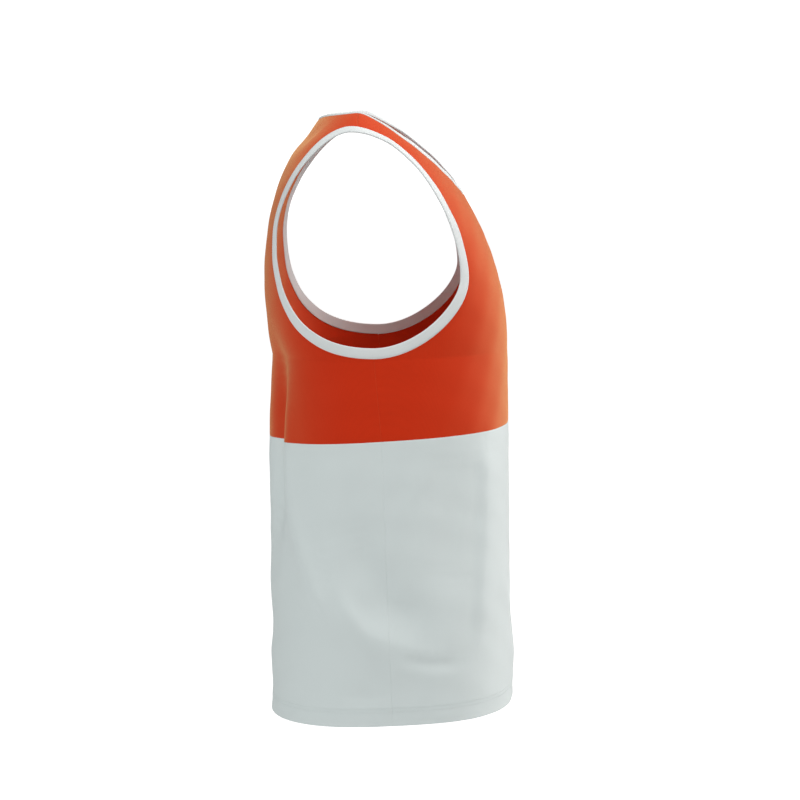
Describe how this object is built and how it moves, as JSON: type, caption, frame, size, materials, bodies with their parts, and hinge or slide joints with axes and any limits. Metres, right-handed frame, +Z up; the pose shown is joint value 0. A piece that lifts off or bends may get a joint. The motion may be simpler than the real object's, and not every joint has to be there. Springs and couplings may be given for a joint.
{
  "type": "running singlet",
  "caption": "Sleeveless running top in a light knit, worn out to shape, with a scoop neck, deep armholes, an orange upper and a pale lower part.",
  "frame": {"origin": "midway between the two shoulder seams, where the wearer's shoulders hold the garment up", "axes": "+Z up, the front faces -Y, +X towards the wearer's left"},
  "size_m": [0.3689, 0.282, 0.6756],
  "materials": {
    "orange_knit": "matte fine knit",
    "pale_knit": "matte fine knit",
    "binding_knit": "matte knitted binding"
  },
  "bodies": {
    "root": {"front_upper": "orange_knit", "back_upper": "orange_knit", "front_lower": "pale_knit", "back_lower": "pale_knit", "neck_binding": "binding_knit", "armhole_binding_right": "binding_knit", "armhole_binding_left": "binding_knit"}
  },
  "joints": []
}
